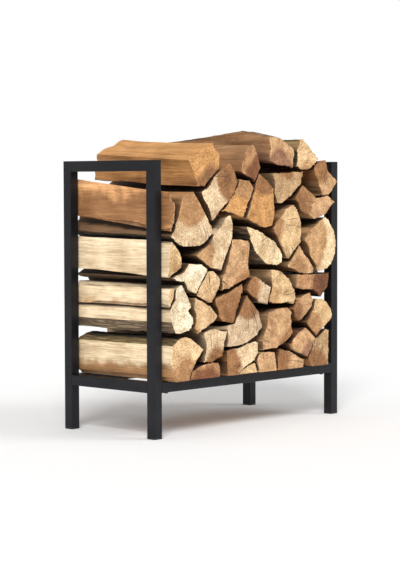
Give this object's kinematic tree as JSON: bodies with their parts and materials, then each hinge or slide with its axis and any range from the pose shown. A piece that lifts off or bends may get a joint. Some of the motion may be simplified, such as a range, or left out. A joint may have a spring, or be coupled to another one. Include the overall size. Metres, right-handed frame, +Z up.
{
  "type": "firewood log rack",
  "caption": "Open freestanding firewood rack of square steel tube, with two end frames, low front and rear rails, foot caps and a stacked load of split logs.",
  "frame": {"origin": "on the floor, under the middle of the rack", "axes": "+X along the rack to its right end, +Y to the back, +Z up; the logs lie along Y"},
  "size_m": [0.66, 0.36, 0.709],
  "materials": {
    "black_powder_coat": "satin black powder coat with a faint orange-peel texture",
    "bare_steel": "bare steel tube, inside the rails",
    "zinc_screw": "black-zinc button-head screw",
    "cap_plastic": "moulded matte black",
    "split_firewood": "raw split and sawn faces with some bark"
  },
  "bodies": {
    "rack": {"post_front_left": "black_powder_coat", "post_rear_left": "black_powder_coat", "post_front_right": "black_powder_coat", "post_rear_right": "black_powder_coat", "top_rail_left": "black_powder_coat", "top_rail_right": "black_powder_coat", "side_rail_left": "black_powder_coat", "side_rail_right": "black_powder_coat", "front_rail": "black_powder_coat", "rear_rail": "black_powder_coat", "spigot_front_left": "bare_steel", "spigot_rear_left": "bare_steel", "spigot_front_right": "bare_steel", "spigot_rear_right": "bare_steel", "locking_screws": "zinc_screw", "foot_cap_front_left": "cap_plastic", "foot_cap_rear_left": "cap_plastic", "foot_cap_front_right": "cap_plastic", "foot_cap_rear_right": "cap_plastic"},
    "firewood": {"log_01": "split_firewood", "log_02": "split_firewood", "log_03": "split_firewood", "log_04": "split_firewood", "log_05": "split_firewood", "log_06": "split_firewood", "log_07": "split_firewood", "log_08": "split_firewood", "log_09": "split_firewood", "log_10": "split_firewood", "log_11": "split_firewood", "log_12": "split_firewood", "log_13": "split_firewood", "log_14": "split_firewood", "log_15": "split_firewood", "log_16": "split_firewood", "log_17": "split_firewood", "log_18": "split_firewood", "log_19": "split_firewood", "log_20": "split_firewood", "log_21": "split_firewood", "log_22": "split_firewood", "log_23": "split_firewood", "log_24": "split_firewood", "log_25": "split_firewood", "log_26": "split_firewood", "log_27": "split_firewood", "log_28": "split_firewood", "log_29": "split_firewood", "log_30": "split_firewood", "log_31": "split_firewood", "log_32": "split_firewood", "log_33": "split_firewood", "log_34": "split_firewood", "log_35": "split_firewood", "log_36": "split_firewood", "log_37": "split_firewood", "log_38": "split_firewood", "log_39": "split_firewood", "log_40": "split_firewood", "log_41": "split_firewood"}
  },
  "joints": [
    {"name": "firewood_lift", "type": "slide", "parent": "rack", "child": "firewood", "axis": [0, 0, 1], "range_m": [0, 0.52]}
  ]
}
